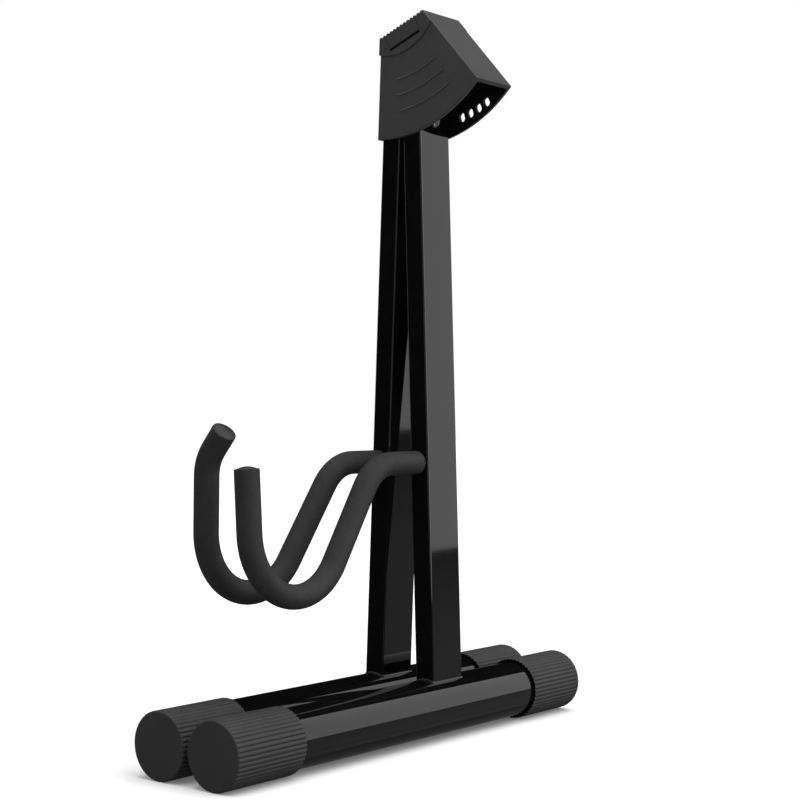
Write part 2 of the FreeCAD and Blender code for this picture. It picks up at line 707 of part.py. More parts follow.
def release_button(grooves):
    outer_y = HALF_DEPTH + size("cap_proud")
    left = -size("button_left_reach")
    length = "sizes.button_left_reach + sizes.button_right_reach"
    full_width = "sizes.head_depth + 2 * sizes.cap_proud"
    solids = [top_box("button_plate", length, full_width, "sizes.button_plate", left, -outer_y,
                      size("button_plate"))]
    for low_y in (-outer_y, outer_y - size("button_skirt_wall")):
        solids.append(top_box("button_skirt", length, "sizes.button_skirt_wall", "sizes.button_skirt",
                              left, low_y, size("button_skirt")))
    tooth_top = size("head_top_rise") + size("flange_diameter") / 2 + size("tooth_gap")
    fork_deep = tooth_top + size("tooth_height")
    fork_y = size("eye_half_length") + size("fork_inner_gap")
    fork_length = "%f - sizes.button_plate" % fork_deep
    tooth_length = fork_y - size("flange_inner_face")
    slots = []
    for side in (-1, 1):
        low_y = fork_y if side > 0 else -fork_y - size("fork_thickness")
        solids.append(top_box("button_fork", "2 * sizes.fork_half_width", "sizes.fork_thickness", fork_length,
                              -size("fork_half_width"), low_y, fork_deep))
        tooth_y = size("flange_inner_face") if side > 0 else -fork_y
        solids.append(top_box("lock_tooth", "2 * sizes.tooth_half_width", "%f" % tooth_length,
                              "sizes.tooth_height", -size("tooth_half_width"), tooth_y, fork_deep))
    slot_radius = "sizes.pin_diameter / 2 + sizes.fork_slot_gap"
    slot_half = size("pin_diameter") / 2 + size("fork_slot_gap")
    for drop in (size("head_top_rise"), size("head_top_rise") - size("button_travel")):
        slots.append(across_head("fork_slot_end", slot_radius, top_place(0.0, drop), -outer_y, full_width))
    slots.append(top_box("fork_slot_middle", "sizes.pin_diameter + 2 * sizes.fork_slot_gap", full_width,
                         "sizes.button_travel", -slot_half, -outer_y, size("head_top_rise")))
    press_axis = FreeCAD.Vector(-TOP_OUT[0], 0, -TOP_OUT[1])
    u, w = top_place(button_middle(), size("button_plate"))
    post = cylinder("spring_post", "sizes.post_diameter / 2", "sizes.post_length", (u, 0, w), press_axis)
    body = join("button_body", post, *solids)
    in_leg(cut("release_button", body, grooves, *slots), LEFT, "release_button")


def button_middle():
    return (size("button_right_reach") - size("button_left_reach")) / 2


def button_spring():
    wire = size("spring_wire")
    inset = wire / 2 + size("spring_end_gap")
    bottom = size("shelf_drop") - inset
    length = size("shelf_drop") - size("button_plate") - 2 * inset
    coil = Part.makeHelix(length / size("spring_turns"), length, size("spring_mean_diameter") / 2)
    coil_start = FreeCAD.Vector(size("spring_mean_diameter") / 2, 0, 0)
    ring = Part.Wire(Part.makeCircle(wire / 2, coil_start, Y_AXIS))
    spring = doc.addObject("Part::Feature", "button_spring")
    spring.Shape = Part.Wire(coil).makePipeShell([ring], True, True)
    u, w = top_place(button_middle(), bottom)
    seat = FreeCAD.Placement(FreeCAD.Vector(u, 0, w), FreeCAD.Rotation(Y_AXIS, -size("top_tilt")))
    leg = FreeCAD.Placement(FreeCAD.Vector(LEFT * size("foot_half_spacing"), 0, size("cap_diameter") / 2),
                            FreeCAD.Rotation(Y_AXIS, size("leg_lean")))
    spring.Placement = leg.multiply(seat)
    finish(spring, "button_spring")


def pivot_pin():
    front = size("pin_end_wall") - HALF_DEPTH
    shank = across_head("pin_shank", "sizes.pin_diameter / 2", PIVOT_PLACE, front,
                        "sizes.head_depth - sizes.pin_end_wall")
    head = across_head("pin_head", "sizes.pin_head_diameter / 2", PIVOT_PLACE, HALF_DEPTH,
                       "sizes.pin_head_height")
    head_soft = rounded("pin_soft_head", head, size("pin_head_height") / 2,
                        lambda edge: edge.BoundBox.YMin > HALF_DEPTH + size("pin_head_height") / 2)
    in_leg(join("pivot_pin", shank, head_soft), LEFT, "pivot_pin")


def upright_screws():
    screws = []
    for place in screw_places():
        shank = across_head("screw_shank", "sizes.screw_diameter / 2", place,
                            HALF_DEPTH - size("screw_length"), "sizes.screw_length")
        head = across_head("screw_head", "sizes.screw_head_diameter / 2", place, HALF_DEPTH,
                           "sizes.screw_head_height")
        head_soft = rounded("screw_soft_head", head, size("screw_head_height") / 2,
                            lambda edge: edge.BoundBox.YMin > HALF_DEPTH + size("screw_head_height") / 2)
        screws.append(join("screw", shank, head_soft))
    in_leg(join("upright_screws", *screws), LEFT, "upright_screws")


# Hinge knuckle in the top of the right upright, drawn in the right leg's frame

def knuckle_disc(name, radius, low_y, length):
    return cylinder(name, radius, length, (0, low_y, size("pivot_height")), Y_AXIS)


def hinge_knuckle():
    pivot = size("pivot_height")
    collar_top = pivot - size("collar_drop")
    upright_top = collar_top - size("collar_height")
    half_length = size("eye_half_length")
    inner_face = size("flange_inner_face")
    flange_length = "sizes.eye_half_length - sizes.flange_inner_face"
    eye_length = "2 * sizes.eye_half_length"
    solids = [knuckle_disc("knuckle_eye", "sizes.eye_diameter / 2", -half_length, eye_length)]
    for low_y in (-half_length, inner_face):
        solids.append(knuckle_disc("knuckle_flange", "sizes.flange_diameter / 2", low_y, flange_length))
    solids.append(box("knuckle_neck", "sizes.neck_width", "2 * sizes.neck_half_length", "sizes.collar_drop",
                      (-size("neck_width") / 2, -size("neck_half_length"), collar_top)))
    collar = box("knuckle_collar", "sizes.upright_width", "sizes.upright_depth", "sizes.collar_height",
                 (-size("upright_width") / 2, -size("upright_depth") / 2, upright_top))
    up = FreeCAD.Vector(0, 0, 1)
    solids.append(rounded("knuckle_soft_collar", collar, size("upright_corner"),
                          lambda edge: runs_along(edge, up)))
    inset = size("upright_wall") + size("spigot_fit")
    solids.append(box("knuckle_spigot",
                      "sizes.upright_width - 2 * sizes.upright_wall - 2 * sizes.spigot_fit",
                      "sizes.upright_depth - 2 * sizes.upright_wall - 2 * sizes.spigot_fit",
                      "sizes.spigot_length",
                      (inset - size("upright_width") / 2, inset - size("upright_depth") / 2,
                       upright_top - size("spigot_length"))))
    bore = knuckle_disc("knuckle_bore", "sizes.pin_diameter / 2 + sizes.pin_running_gap", -2 * half_length,
                        "4 * sizes.eye_half_length")
    rivet_hole = rivet_shank("knuckle_rivet_hole", "sizes.rivet_diameter / 2 + sizes.rivet_fit")
    notch_turn = math.radians(size("top_tilt") - size("sector_angle"))
    down = (math.sin(notch_turn), -math.cos(notch_turn))
    reach = size("flange_diameter") / 2 - size("notch_depth")
    half_notch = size("tooth_half_width") + size("tooth_gap")
    far = reach + 2 * size("notch_depth")
    notches = []
    for low_y in (-half_length - size("tooth_gap"), inner_face - size("tooth_gap")):
        corner = (far * down[0] - half_notch * math.cos(notch_turn), low_y,
                  pivot + far * down[1] - half_notch * math.sin(notch_turn))
        notches.append(box("lock_notch", "2 * sizes.tooth_half_width + 2 * sizes.tooth_gap",
                           flange_length + " + 2 * sizes.tooth_gap", "2 * sizes.notch_depth", corner,
                           math.degrees(notch_turn)))
    whole = join("knuckle_whole", *solids)
    in_leg(cut("hinge_knuckle", whole, bore, rivet_hole, *notches), RIGHT, "hinge_knuckle")


def knuckle_rivet():
    half_width = size("upright_width") / 2
    height = size("pivot_height") - size("rivet_drop")
    shank = rivet_shank("rivet_shank", "sizes.rivet_diameter / 2")
    heads = []
    for side in (-1, 1):
        outward = X_AXIS * side
        seat = FreeCAD.Vector(side * half_width, 0, height)
        flat = cylinder("rivet_head", "sizes.rivet_head_diameter / 2", "sizes.rivet_head_height",
                        seat, outward)
        far_x = half_width + size("rivet_head_height") / 2
        heads.append(rounded("rivet_soft_head", flat, size("rivet_head_round"),
                             lambda edge: edge.BoundBox.XMin > far_x or edge.BoundBox.XMax < -far_x))
    in_leg(join("knuckle_rivet", shank, *heads), RIGHT, "knuckle_rivet")


for leg_name, leg_side in (("left", LEFT), ("right", RIGHT)):
    foot_tube(leg_name, leg_side)
    foot_cap(leg_name + "_front_cap", leg_side, -size("foot_front_reach"), 1)
    foot_cap(leg_name + "_rear_cap", leg_side, size("foot_rear_reach"), -1)
    arm(leg_name, leg_side)
left_upright()
right_upright()
inside_of_head = head_hollow()
wall_of_head = right_wall_zone()
ribs_of_head = grip_grooves()
head_shell(inside_of_head, wall_of_head, ribs_of_head)
top_cap(inside_of_head, wall_of_head, ribs_of_head)
release_button(ribs_of_head)
button_spring()
pivot_pin()
upright_screws()
hinge_knuckle()
knuckle_rivet()

doc.recompute()

for entry in doc.Objects:
    if "Invalid" in entry.State or "Error" in entry.State:
        raise RuntimeError("%s failed to build" % entry.Name)
for piece in sub_parts:
    if piece.Shape.isNull() or not piece.Shape.isValid() or not piece.Shape.Solids:
        raise RuntimeError("%s has no valid solid" % piece.Label)

for tube, ring, length in swept_tubes:
    expected = math.pi * float(ring.Radius) ** 2 * length
    if abs(tube.Shape.Volume / expected - 1) > SWEEP_TOLERANCE:
        raise RuntimeError("%s isn't as large as its section times its length" % tube.Name)

os.makedirs("parts", exist_ok=True)
for piece in sub_parts:
    solids = piece.Shape.Solids
    shape = solids[0] if len(solids) == 1 else Part.makeCompound(solids)
    shape.exportStep("parts/%s.step" % piece.Label)
    print("%-20s solids %d  volume %.1f mm3" % (piece.Label, len(solids), piece.Shape.Volume))
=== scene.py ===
from math import asin, cos, pi, radians, sin, sqrt, tan

import bmesh
import bpy
from mathutils import Matrix, Vector
from mathutils.bvhtree import BVHTree


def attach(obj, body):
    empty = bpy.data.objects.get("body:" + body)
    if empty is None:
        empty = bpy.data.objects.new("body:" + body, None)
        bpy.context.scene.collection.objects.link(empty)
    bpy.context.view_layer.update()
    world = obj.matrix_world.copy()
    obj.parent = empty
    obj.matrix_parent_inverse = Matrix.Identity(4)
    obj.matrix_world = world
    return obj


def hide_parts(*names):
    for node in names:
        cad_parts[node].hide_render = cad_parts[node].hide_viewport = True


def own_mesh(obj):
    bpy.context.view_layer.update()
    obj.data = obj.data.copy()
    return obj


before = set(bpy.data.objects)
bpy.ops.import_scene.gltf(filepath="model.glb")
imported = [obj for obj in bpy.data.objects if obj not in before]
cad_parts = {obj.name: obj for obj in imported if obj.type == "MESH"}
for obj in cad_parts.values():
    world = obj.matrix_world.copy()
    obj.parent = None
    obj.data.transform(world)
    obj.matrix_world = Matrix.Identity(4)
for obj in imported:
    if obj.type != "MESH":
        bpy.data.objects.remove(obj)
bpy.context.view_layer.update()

# Each leg stands on a length of round steel tube that lies along Y. The tube is
# cut square, its ends are hidden in the rubber caps, and it is sprayed in gloss
# black together with the upright that is welded on it.
MM = 0.001
FOOT_HALF_SPACING = 20.9 * MM
FOOT_AXIS_HEIGHT = 19.5 * MM
FOOT_RADIUS = 17.5 * MM
FOOT_WALL = 1.5 * MM
FOOT_BORE = FOOT_RADIUS - FOOT_WALL
FOOT_FRONT_Y = -195.7 * MM
FOOT_REAR_Y = 126.5 * MM
FOOT_STEPS = 128
SIDES = (("left", -1), ("right", 1))
Y_AXIS = Vector((0, 1, 0))
MERGE_DISTANCE = 1e-6
SMOOTH_ANGLE = radians(32)
NOISE_RANGE = (0.3, 0.7)
BLOTCHES_PER_PATCH = 3.7


def add_node(tree, kind, inputs=None, **settings):
    """A shader node with its settings and the plain values of its inputs."""
    node = tree.nodes.new(kind)
    for name, value in settings.items():
        setattr(node, name, value)
    for name, value in (inputs or {}).items():
        node.inputs[name].default_value = value
    return node


def surface_group(name, build):
    """A group with the sizes of a finish going in, and its tone, roughness and height coming out."""
    group = bpy.data.node_groups.new(name, "ShaderNodeTree")
    for label in ("Fine Scale", "Broad Scale"):
        group.interface.new_socket(label, in_out="INPUT", socket_type="NodeSocketFloat")
    for label in ("Tone", "Roughness", "Height"):
        group.interface.new_socket(label, in_out="OUTPUT", socket_type="NodeSocketFloat")
    sizes = add_node(group, "NodeGroupInput")
    result = add_node(group, "NodeGroupOutput")
    place = add_node(group, "ShaderNodeTexCoord")
    build(group, place.outputs["Object"], sizes, result)
    return group


def spray_skin(group, place, sizes, result):
    """Sprayed or blackened steel: fine ripples, broad dull patches and smaller blotches of tone."""
    ripples = add_node(group, "ShaderNodeTexNoise", {"Detail": 1.0, "Roughness": 0.4})
    patches = add_node(group, "ShaderNodeTexNoise", {"Detail": 4.0, "Roughness": 0.6})
    blotches = add_node(group, "ShaderNodeTexNoise", {"Detail": 3.0, "Roughness": 0.7})
    blotch_scale = add_node(group, "ShaderNodeMath", {1: BLOTCHES_PER_PATCH}, operation="MULTIPLY")
    for node, scale in ((ripples, sizes.outputs["Fine Scale"]), (patches, sizes.outputs["Broad Scale"]),
                        (blotches, blotch_scale.outputs[0])):
        group.links.new(place, node.inputs["Vector"])
        group.links.new(scale, node.inputs["Scale"])
    group.links.new(sizes.outputs["Broad Scale"], blotch_scale.inputs[0])
    group.links.new(blotches.outputs["Fac"], result.inputs["Tone"])
    group.links.new(patches.outputs["Fac"], result.inputs["Roughness"])
    group.links.new(ripples.outputs["Fac"], result.inputs["Height"])


def finish_material(name, group, scales, tones, roughness, relief, **shine):
    """A Principled material: two tones, a roughness range and a bump that one group varies."""
    material = bpy.data.materials.new(name)
    material.use_nodes = True
    tree = material.node_tree
    shader = tree.nodes["Principled BSDF"]
    for socket, value in shine.items():
        shader.inputs[socket.replace("_", " ")].default_value = value
    skin = add_node(tree, "ShaderNodeGroup", {"Fine Scale": scales[0], "Broad Scale": scales[1]},
                    node_tree=group)
    ramp = add_node(tree, "ShaderNodeValToRGB")
    for element, position, tone in zip(ramp.color_ramp.elements, NOISE_RANGE, tones):
        element.position = position
        element.color = (*tone, 1.0)
    spread = add_node(tree, "ShaderNodeMapRange", {"From Min": NOISE_RANGE[0], "From Max": NOISE_RANGE[1],
                                                   "To Min": roughness[0], "To Max": roughness[1]})
    bump = add_node(tree, "ShaderNodeBump", {"Strength": relief[0], "Distance": relief[1]})
    tree.links.new(skin.outputs["Tone"], ramp.inputs["Fac"])
    tree.links.new(ramp.outputs["Color"], shader.inputs["Base Color"])
    tree.links.new(skin.outputs["Roughness"], spread.inputs["Value"])
    tree.links.new(spread.outputs["Result"], shader.inputs["Roughness"])
    tree.links.new(skin.outputs["Height"], bump.inputs["Height"])
    tree.links.new(bump.outputs["Normal"], shader.inputs["Normal"])
    return material


def object_of(bm, name, material):
    """A bmesh made an object of the scene, with one material."""
    mesh = bpy.data.meshes.new(name)
    bm.to_mesh(mesh)
    bm.free()
    mesh.materials.append(material)
    piece = bpy.data.objects.new(name, mesh)
    bpy.context.scene.collection.objects.link(piece)
    return piece


def finished_piece(bm, name, body, slot, material, *nodes):
    """Closes a bmesh up, shades it and makes it the piece that stands for the CAD nodes."""
    bmesh.ops.remove_doubles(bm, verts=bm.verts, dist=MERGE_DISTANCE)
    bmesh.ops.recalc_face_normals(bm, faces=bm.faces)
    for face in bm.faces:
        face.smooth = True
    for edge in bm.edges:
        edge.smooth = edge.calc_face_angle(0.0) < SMOOTH_ANGLE
    piece = object_of(bm, name, material)
    flat = piece.modifiers.new("flat_faces_stay_flat", "WEIGHTED_NORMAL")
    flat.keep_sharp = True
    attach(piece, body)
    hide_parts(*nodes)
    return piece


def drawn_loop(bm, points, closed):
    """Vertices joined in order by edges, as a profile to spin."""
    verts = [bm.verts.new(point) for point in points]
    pairs = zip(verts, verts[1:] + verts[:1]) if closed else zip(verts, verts[1:])
    return verts + [bm.edges.new(pair) for pair in pairs]


spray_group = surface_group("spray_skin", spray_skin)
black_paint = finish_material("gloss_black_paint", spray_group, scales=(900.0, 14.0),
                              tones=((0.0024, 0.0024, 0.0025), (0.0042, 0.0042, 0.0044)),
                              roughness=(0.03, 0.06), relief=(0.05, 0.00004),
                              Coat_Weight=0.3, Coat_Roughness=0.03, IOR=1.52)

for side_name, side in SIDES:
    bm = bmesh.new()
    profile = drawn_loop(bm, [(FOOT_BORE, FOOT_FRONT_Y, 0), (FOOT_RADIUS, FOOT_FRONT_Y, 0),
                              (FOOT_RADIUS, FOOT_REAR_Y, 0), (FOOT_BORE, FOOT_REAR_Y, 0)], True)
    bmesh.ops.spin(bm, geom=profile, cent=(0, 0, 0), axis=Y_AXIS, angle=2 * pi, steps=FOOT_STEPS,
                   use_merge=True)
    bmesh.ops.translate(bm, verts=bm.verts, vec=(side * FOOT_HALF_SPACING, 0, FOOT_AXIS_HEIGHT))
    finished_piece(bm, side_name + "_foot_tube_painted", side_name + "_leg", "black_paint", black_paint,
                   side_name + "_foot_tube")

# Two lengths of rectangular steel tube with tight rolled corners, coped to the
# foot tubes and welded there with a small even bead. The left one ends inside
# the head, the right one under the hinge knuckle's collar.
LEAN = radians(2.066)
UPRIGHT_WIDTH = 13.8 * MM
UPRIGHT_DEPTH = 30.2 * MM
UPRIGHT_CORNER = 1.4 * MM
CORNER_STEPS = 5
CORE_HALF_WIDTH = UPRIGHT_WIDTH / 2 - UPRIGHT_CORNER
CORE_HALF_DEPTH = UPRIGHT_DEPTH / 2 - UPRIGHT_CORNER
UPRIGHT_TOPS = {"left": 391.0 * MM, "right": 383.5 * MM}
UPRIGHT_FOOT = 14.0 * MM
BEAD_RADIUS = 0.8 * MM
BEAD_SWELL = 0.08
BEAD_STEP = 2.4 * MM
BEAD_CUTS = 40
BEAD_ARC_STEPS = 6
Z_AXIS = Vector((0, 0, 1))
ALIGNED = 0.99


def leg_place(side):
    """From a leg's own frame, with the upright along Z over the foot's axis, to the stand's."""
    stand = Matrix.Translation((side * FOOT_HALF_SPACING, 0, FOOT_AXIS_HEIGHT))
    return stand @ Matrix.Rotation(-side * LEAN, 4, "Y")


def box_between(bm, low, high):
    """A box from its low corner to its high one; gives its vertices."""
    made = bmesh.ops.create_cube(bm, size=1.0)
    size = Vector(high) - Vector(low)
    bmesh.ops.scale(bm, verts=made["verts"], vec=size)
    bmesh.ops.translate(bm, verts=made["verts"], vec=(Vector(low) + Vector(high)) / 2)
    return made["verts"]


def edges_along(edges, axis):
    """The straight edges that run along an axis."""
    chosen = []
    for edge in edges:
        run = edge.verts[1].co - edge.verts[0].co
        if abs(run.normalized().dot(axis)) > ALIGNED:
            chosen.append(edge)
    return chosen


def extruded(bm, edges):
    """Extrudes a ring of edges on the spot; gives the new vertices and the new ring."""
    made = bmesh.ops.extrude_edge_only(bm, edges=edges)["geom"]
    verts = [item for item in made if isinstance(item, bmesh.types.BMVert)]
    ring = [item for item in made if isinstance(item, bmesh.types.BMEdge)]
    return verts, ring


def held_within(value, limit):
    """A value, or the nearest one between minus and plus the limit."""
    return max(-limit, min(limit, value))


def weld_bead(bm):
    """A quarter-round bead from the upright to the foot tube, a little swollen at each step."""
    made = bmesh.ops.create_grid(bm, x_segments=1, y_segments=1, size=0.5)
    bmesh.ops.scale(bm, verts=made["verts"], vec=(UPRIGHT_WIDTH, UPRIGHT_DEPTH, 1))
    bmesh.ops.bevel(bm, geom=made["verts"], offset=UPRIGHT_CORNER, offset_type="OFFSET",
                    affect="VERTICES", segments=CORNER_STEPS, profile=0.5, material=-1)
    level_faces = [face for face in bm.faces if abs(face.normal.z) > ALIGNED]
    sheet = [face for face in level_faces if face.calc_center_median().z == 0][0]
    long_edges = [edge for edge in sheet.edges if edge.calc_length() > UPRIGHT_WIDTH / 2]
    bmesh.ops.subdivide_edges(bm, edges=long_edges, cuts=BEAD_CUTS)
    ring = [edge for edge in bm.edges if len(edge.link_faces) == 1]
    for step in range(BEAD_ARC_STEPS + 1):
        turn = pi / 2 * step / BEAD_ARC_STEPS
        if step:
            ring = extruded(bm, ring)[1]
        for vert in {v for edge in ring for v in edge.verts}:
            core = Vector((held_within(vert.co.x, CORE_HALF_WIDTH),
                           held_within(vert.co.y, CORE_HALF_DEPTH)))
            outward = (vert.co.xy - core).normalized()
            swell = 1 + BEAD_SWELL * sin(2 * pi * (vert.co.x + vert.co.y) / BEAD_STEP)
            place = core + outward * (UPRIGHT_CORNER + BEAD_RADIUS * swell * sin(turn))
            seat = sqrt(FOOT_RADIUS ** 2 - place.x ** 2)
            vert.co = (place.x, place.y, seat + BEAD_RADIUS * swell * cos(turn))
    bmesh.ops.delete(bm, geom=[sheet], context="FACES")


for side_name, side in SIDES:
    bm = bmesh.new()
    weld_bead(bm)
    tube = box_between(bm, (-UPRIGHT_WIDTH / 2, -UPRIGHT_DEPTH / 2, UPRIGHT_FOOT),
                       (UPRIGHT_WIDTH / 2, UPRIGHT_DEPTH / 2, UPRIGHT_TOPS[side_name]))
    tube_edges = {edge for vert in tube for edge in vert.link_edges}
    bmesh.ops.bevel(bm, geom=edges_along(tube_edges, Z_AXIS), offset=UPRIGHT_CORNER,
                    offset_type="OFFSET", affect="EDGES", segments=CORNER_STEPS, profile=0.5, material=-1)
    bmesh.ops.transform(bm, matrix=leg_place(side), verts=bm.verts)
    finished_piece(bm, side_name + "_upright_painted", side_name + "_leg", "black_paint", black_paint,
                   side_name + "_upright")

# Four pull-over caps of black rubber, moulded with 44 fine ribs for grip that run
# out in the rounded edge of a flat end. The open end flares a little, so that its
# toothed edge stands off the tube.
CAP_RADIUS = FOOT_AXIS_HEIGHT
CAP_FIT = 0.05 * MM
CAP_BORE = FOOT_RADIUS + CAP_FIT
CAP_END_WALL = 4.0 * MM
CAP_RIBS = 44
RIB_DROPS = (0.6 * MM, 0.14 * MM, 0.0, 0.0, 0.0, 0.14 * MM)
RIB_STEPS = len(RIB_DROPS)
HALF_RIB = Matrix.Rotation(pi / CAP_RIBS, 3, "Y")
CAP_EDGE = 1.1 * MM
CAP_EDGE_STEPS = 4
CAP_FLARE_RADIUS = 19.3 * MM
CAP_FLARE_DEPTH = 5.0 * MM
FLARE_TOOTH = 1.0 * MM
# Each end's name, the place of its flat end, the way inwards along Y and the cap's length.
CAP_ENDS = (("front", FOOT_FRONT_Y - CAP_END_WALL, 1, 53.6 * MM),
            ("rear", FOOT_REAR_Y + CAP_END_WALL, -1, 52.3 * MM))


def moulded_skin(group, place, sizes, result):
    """Moulded plastic or rubber: a fine spark-eroded grain over slow changes of tone."""
    grain = add_node(group, "ShaderNodeTexNoise", {"Detail": 2.0, "Roughness": 0.55})
    broad = add_node(group, "ShaderNodeTexNoise", {"Detail": 5.0, "Roughness": 0.6})
    for node, label in ((grain, "Fine Scale"), (broad, "Broad Scale")):
        group.links.new(place, node.inputs["Vector"])
        group.links.new(sizes.outputs[label], node.inputs["Scale"])
    group.links.new(broad.outputs["Fac"], result.inputs["Tone"])
    group.links.new(grain.outputs["Fac"], result.inputs["Roughness"])
    group.links.new(grain.outputs["Fac"], result.inputs["Height"])


moulded_group = surface_group("moulded_skin", moulded_skin)
cap_rubber = finish_material("cap_rubber", moulded_group, scales=(2600.0, 40.0),
                             tones=((0.0236, 0.0236, 0.024), (0.0304, 0.0304, 0.0308)),
                             roughness=(0.5, 0.66), relief=(0.25, 0.00005), IOR=1.5)


def ring_across_y(bm, radius, segments):
    """A circle of edges round the Y axis; gives its vertices in order."""
    verts = bmesh.ops.create_circle(bm, cap_ends=False, radius=radius, segments=segments)["verts"]
    bmesh.ops.rotate(bm, verts=verts, cent=(0, 0, 0), matrix=Matrix.Rotation(pi / 2, 3, "X"))
    return verts


def extruded_ring(bm, edges, drop_to=None, along=None, shrink=None):
    """Extrudes a closed ring of edges, then moves it along Y, drops it to a radius or scales it."""
    verts, ring = extruded(bm, edges)
    if along:
        bmesh.ops.translate(bm, verts=verts, vec=(0, along, 0))
    if drop_to:
        for vert in verts:
            flat = Vector((vert.co.x, 0, vert.co.z))
            vert.co = flat.normalized() * min(flat.length, drop_to) + Y_AXIS * vert.co.y
    if shrink:
        bmesh.ops.scale(bm, verts=verts, vec=(shrink, 1, shrink))
    return ring


for side_name, side in SIDES:
    for end_name, end_y, inward, cap_length in CAP_ENDS:
        bm = bmesh.new()
        verts = ring_across_y(bm, CAP_RADIUS, CAP_RIBS * RIB_STEPS)
        bmesh.ops.rotate(bm, verts=verts, cent=(0, 0, 0), matrix=HALF_RIB)
        for number, vert in enumerate(verts):
            vert.co *= 1 - RIB_DROPS[number % RIB_STEPS] / CAP_RADIUS
        ribbed = list(bm.edges)
        bmesh.ops.translate(bm, verts=bm.verts, vec=(0, inward * cap_length, 0))
        flare = extruded_ring(bm, ribbed, shrink=CAP_FLARE_RADIUS / CAP_RADIUS)
        for vert in {v for edge in flare for v in edge.verts}:
            notch = max(0.0, CAP_FLARE_RADIUS - vert.co.xz.length) / RIB_DROPS[0]
            vert.co.xz = vert.co.xz.normalized() * (CAP_FLARE_RADIUS - FLARE_TOOTH * sqrt(notch))
        bore = extruded_ring(bm, flare, drop_to=CAP_BORE, along=-inward * CAP_FLARE_DEPTH)
        bore = extruded_ring(bm, bore, along=-inward * (cap_length - CAP_FLARE_DEPTH - CAP_END_WALL))
        bmesh.ops.contextual_create(bm, geom=bore)
        ring = extruded_ring(bm, ribbed, along=-inward * (cap_length - CAP_EDGE))
        turned = 0.0
        for step in range(1, CAP_EDGE_STEPS + 1):
            turn = step * pi / (2 * CAP_EDGE_STEPS)
            ring = extruded_ring(bm, ring, drop_to=CAP_RADIUS - CAP_EDGE * (1 - cos(turn)),
                                 along=-inward * CAP_EDGE * (sin(turn) - turned))
            turned = sin(turn)
        bmesh.ops.contextual_create(bm, geom=ring)
        bmesh.ops.translate(bm, verts=bm.verts,
                            vec=(side * FOOT_HALF_SPACING, end_y, FOOT_AXIS_HEIGHT))
        finished_piece(bm, "%s_%s_cap_ribbed" % (side_name, end_name), side_name + "_leg", "cap_rubber",
                       cap_rubber, "%s_%s_cap" % (side_name, end_name))

# A bent steel rod goes through each upright's front wall and is welded there. A
# sleeve of closed-cell foam covers it to just short of the upright and follows
# its bends; the left hook's end is bent inwards.
SLEEVE_RADIUS = 7.2 * MM
SLEEVE_BORE = 4.1 * MM
SLEEVE_START_Y = -17.4 * MM
SLEEVE_SEGMENTS = 40
SLEEVE_ROUND = 0.9 * MM
SLEEVE_TIP_ROUND = 0.6 * MM
ROUND_STEPS = 5
ARM_ROOT_HEIGHT = 151.6 * MM
SHOULDER_REACH = 59.1 * MM
SHOULDER_RADIUS = 30.8 * MM
SHOULDER_STEPS = 16
ARM_SLOPE = radians(55.5)
PRONG_REACH = 168.8 * MM
PRONG_LEAN = radians(1.63)
CRADLE_RADIUS = 38.4 * MM
CRADLE_STEPS = 40
PRONG_TOP = 152.2 * MM
BEND_HEIGHT = 155.8 * MM
BEND_ANGLE = radians(38.3)
BEND_RADIUS = 24.4 * MM
BEND_STEPS = 14
BEND_LENGTH = 22.0 * MM
X_AXIS = Vector((1, 0, 0))


def foam_skin(group, place, sizes, result):
    """Closed-cell foam: tiny burst cells in a skin that is a little lumpy."""
    cells = add_node(group, "ShaderNodeTexVoronoi", {"Randomness": 1.0}, feature="F1")
    lumps = add_node(group, "ShaderNodeTexNoise", {"Detail": 6.0, "Roughness": 0.65})
    both = add_node(group, "ShaderNodeMath", operation="ADD")
    for node, label in ((cells, "Fine Scale"), (lumps, "Broad Scale")):
        group.links.new(place, node.inputs["Vector"])
        group.links.new(sizes.outputs[label], node.inputs["Scale"])
    group.links.new(cells.outputs["Distance"], both.inputs[0])
    group.links.new(lumps.outputs["Fac"], both.inputs[1])
    group.links.new(lumps.outputs["Fac"], result.inputs["Tone"])
    group.links.new(cells.outputs["Distance"], result.inputs["Roughness"])
    group.links.new(both.outputs[0], result.inputs["Height"])


foam_group = surface_group("foam_skin", foam_skin)
sleeve_foam = finish_material("sleeve_foam", foam_group, scales=(1500.0, 130.0),
                              tones=((0.0176, 0.0176, 0.0179), (0.0235, 0.0235, 0.0239)),
                              roughness=(0.62, 0.78), relief=(0.35, 0.00012), IOR=1.45)


def straight_run(bm, edges, run):
    """Extrudes a ring of edges by a vector and gives the new ring."""
    verts, ring = extruded(bm, edges)
    bmesh.ops.translate(bm, verts=verts, vec=run)
    return ring


def bent_run(bm, edges, centre, axis, angle, steps):
    """Spins a ring of edges round a bend's centre and gives the last ring."""
    made = bmesh.ops.spin(bm, geom=edges, cent=centre, axis=axis, angle=angle, steps=steps)
    return [item for item in made["geom_last"] if isinstance(item, bmesh.types.BMEdge)]


def rounded_end(bm, edges, heading, radius, edge_radius):
    """Rounds a tube's end over by a quarter circle and gives the last ring."""
    middle = sum((v.co for e in edges for v in e.verts), Vector()) / (2 * len(edges))
    gone_in, gone_on = 0.0, 0.0
    for step in range(1, ROUND_STEPS + 1):
        turn = step * pi / (2 * ROUND_STEPS)
        drop, rise = edge_radius * (1 - cos(turn)), edge_radius * sin(turn)
        edges = straight_run(bm, edges, heading * (rise - gone_on))
        verts = list({v for e in edges for v in e.verts})
        share = (radius - drop) / (radius - gone_in)
        here = Matrix.Translation(-(middle + heading * rise))
        bmesh.ops.scale(bm, verts=verts, vec=(share, share, share), space=here)
        gone_in, gone_on = drop, rise
    return edges


